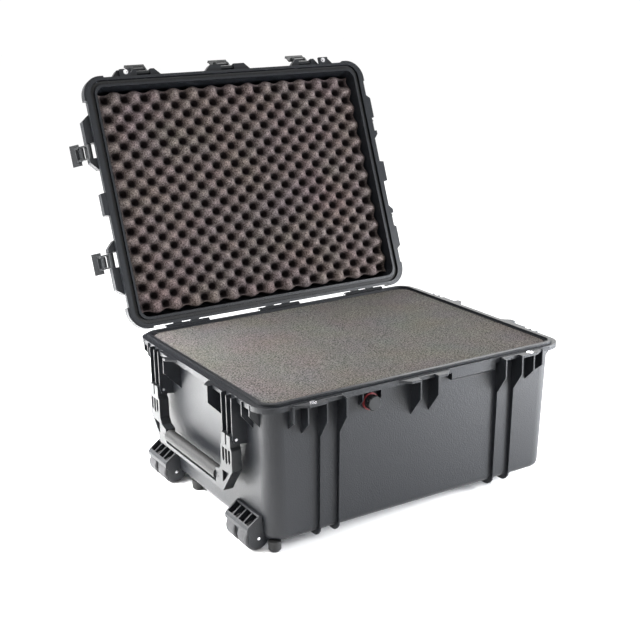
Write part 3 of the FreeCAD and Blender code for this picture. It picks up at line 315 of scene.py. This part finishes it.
def ripple(place, half, period):
    """1 at the first pit, a quarter of a period in from the edge, and -1 between pits."""
    return math.cos(2 * math.pi * (place + half - period / 4) / period)


def egg_wave(x, y):
    return ripple(x, FOAM_HALF_LONG, EGG_LONG) * ripple(y, FOAM_HALF_WIDE, EGG_WIDE)


def egg_height(x, y):
    """0 in the bottom of a pit, 1 on a peak."""
    return ((1 - egg_wave(x, y)) / 2) ** 0.56


def lid_foam(material):
    """Convoluted foam in the lid, drawn closed and swung open."""
    columns = int(2 * FOAM_HALF_LONG / EGG_STEP) + 1
    rows = int(2 * FOAM_HALF_WIDE / EGG_STEP) + 1
    swing = lid_open()
    back_plane, deep, peak = RIM + 53.6 * MM, RIM + 44 * MM, RIM + 14 * MM

    def spot(i, j):
        x = -FOAM_HALF_LONG + 2 * FOAM_HALF_LONG * i / (columns - 1)
        y = -FOAM_HALF_WIDE + 2 * FOAM_HALF_WIDE * j / (rows - 1)
        return x, y

    def pushed(x, y, z):
        """The edge bulges beside a pit and is drawn in beside a peak."""
        edge_x = max(0.0, abs(x) / FOAM_HALF_LONG - 0.95) / 0.05
        edge_y = max(0.0, abs(y) / FOAM_HALF_WIDE - 0.94) / 0.06
        beside_x = math.copysign(FOAM_HALF_LONG - EGG_LONG / 4, x)
        beside_y = math.copysign(FOAM_HALF_WIDE - EGG_WIDE / 4, y)
        bulge_x = (egg_wave(beside_x, y) - 1) * 5 * MM
        bulge_y = (egg_wave(x, beside_y) - 1) * 4 * MM
        x += math.copysign(edge_x * bulge_x, x)
        y += math.copysign(edge_y * bulge_y, y)
        return swing @ Vector((x, y - BACK, z))

    def top(i, j):
        x, y = spot(i, j)
        rough = noise.noise(Vector((x * 160, y * 160, 3.0))) * 0.7 * MM
        drop = noise.noise(Vector((x * 6, y * 6, 9.0))) * 1.6 * MM
        z = deep + (peak - deep) * egg_height(x, y) + rough + drop
        return pushed(x, y, z)

    def bottom(i, j):
        x, y = spot(i, j)
        return pushed(x, y, back_plane)

    vertices, faces = grid_block(columns, rows, top, bottom)
    piece = mesh_piece("lid_foam_convoluted", vertices, faces, material)
    heights = piece.data.attributes.new("foam_height", "FLOAT", "POINT")
    for index in range(columns * rows):
        heights.data[index].value = egg_height(*spot(index % columns, index // columns))
    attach(piece, "lid")
    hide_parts("foam_lid")


FOAM_CORNER = 31 * MM
SOFT_EDGE = 3 * MM       # radius of the upper edge
TOP_RINGS = 14           # steps from the edge of the top to its middle


def foam_layer(name, cad_node, material, top_wave):
    """One block of the tub's foam, with rounded corners and a soft upper edge."""
    low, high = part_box(cad_node)
    low, high = Vector(low), Vector(high)
    points = []
    half_x, half_y = (high.x - low.x) / 2, (high.y - low.y) / 2
    centre = (low + high) / 2
    outline = rounded_outline(half_x, half_y, FOAM_CORNER, 10, 34)
    levels = [(0, low.z), (0, (low.z + high.z) / 2), (0, high.z - 4 * MM)]
    for k in range(1, 6):
        angle = k * math.pi / 10
        levels.append((SOFT_EDGE * (1 - math.cos(angle)),
                       high.z - SOFT_EDGE * (1 - math.sin(angle))))
    for inset, z in levels:
        for x, y in outline:
            away = 1 - inset / half_x
            wave = 0
            if z > high.z - 5 * MM:
                wave = noise.noise(Vector((x * 12, y * 12, 5.0))) * 0.6 * MM
            points.append(Vector((centre.x + x * away, centre.y + y * (1 - inset / half_y),
                                  min(z + wave, high.z))))
    count = len(outline)
    faces = []
    for ring in range(len(levels) - 1):
        for k in range(count):
            a, b = ring * count + k, ring * count + (k + 1) % count
            faces.append((a, b, b + count, a + count))
    # the top is made of rings that shrink to its middle, so that it can undulate
    start = (len(levels) - 1) * count
    for ring in range(1, TOP_RINGS):
        share = 1 - ring / TOP_RINGS
        for x, y in outline:
            px, py = x * share, y * share
            wave = noise.noise(Vector((px * 14, py * 14, 5.0))) * top_wave
            points.append(Vector((centre.x + px, centre.y + py, high.z - top_wave + wave)))
        for k in range(count):
            a, b = start + (ring - 1) * count + k, start + (ring - 1) * count + (k + 1) % count
            faces.append((a, b, b + count, a + count))
    faces.append(tuple(range(start + (TOP_RINGS - 1) * count, start + TOP_RINGS * count)))
    faces.append(tuple(range(count - 1, -1, -1)))
    piece = mesh_piece(name, [tuple(p) for p in points], faces, material)
    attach(piece, "base")
    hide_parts(cad_node)


def rounded_outline(half_x, half_y, radius, corner_steps, side_steps):
    """Points round a rounded rectangle, anticlockwise."""
    points = []
    centres = ((half_x - radius, half_y - radius), (radius - half_x, half_y - radius),
               (radius - half_x, radius - half_y), (half_x - radius, radius - half_y))
    for quarter, (cx, cy) in enumerate(centres):
        for k in range(corner_steps + 1):
            angle = (quarter + k / corner_steps) * math.pi / 2
            points.append((cx + radius * math.cos(angle), cy + radius * math.sin(angle)))
        nx, ny = centres[(quarter + 1) % 4]
        last = points[-1]
        angle = (quarter + 1) * math.pi / 2
        goal = (nx + radius * math.cos(angle), ny + radius * math.sin(angle))
        for k in range(1, side_steps):
            share = k / side_steps
            points.append((last[0] + (goal[0] - last[0]) * share,
                           last[1] + (goal[1] - last[1]) * share))
    return points


# ---------------------------------------------------------------- scene

make_camera()
make_world()
make_floor()
# floor_left and floor_right brighten the floor that the glossy walls reflect
area_light("key", (-2.2, -2.6, 3.2), (0, -0.1, 0.3), (2.0, 2.0), 20)
area_light("front_right", (2.0, -1.6, 0.35), (0.4, -0.43, 0.2), (1.0, 0.7), 90, (0.86, 0.91, 1))
area_light("floor_left", (-1.5, 0.7, 1.0), (-1.25, 0.55, 0), (1.4, 1.6), 105, spread=100)
area_light("floor_right", (1.35, -1.15, 0.5), (0.95, -0.9, 0), (0.6, 0.6), 30, spread=110)
area_light("rim", (2.2, 2.4, 2.4), (0, 0.2, 0.4), (2.0, 2.0), 60)
area_light("lid_edge", (-2.3, 0.9, 1.3), (-0.35, 0.3, 0.6), (0.9, 1.2), 60)
finish_cad_nodes()
base_foam_material = foam("foam_grey_brown", (0.018, 0.017, 0.016), (0.185, 0.172, 0.158), 520.0)
# the lid foam's near-black pit colour is painted shade in the bottoms of the egg-crate pits
lid_foam_material = foam("foam_warm_brown", (0.060, 0.046, 0.043), (0.235, 0.190, 0.180),
                         pit_shade=(0.004, 0.002, 0.002))
lid_foam(lid_foam_material)
foam_layer("foam_top_block", "foam_block_upper", base_foam_material, 0.5 * MM)
foam_layer("foam_lower_block", "foam_block_lower", base_foam_material, 0.5 * MM)
foam_layer("foam_pad", "foam_base_pad", base_foam_material, 0.3 * MM)

bpy.context.scene.view_settings.view_transform = "Standard"
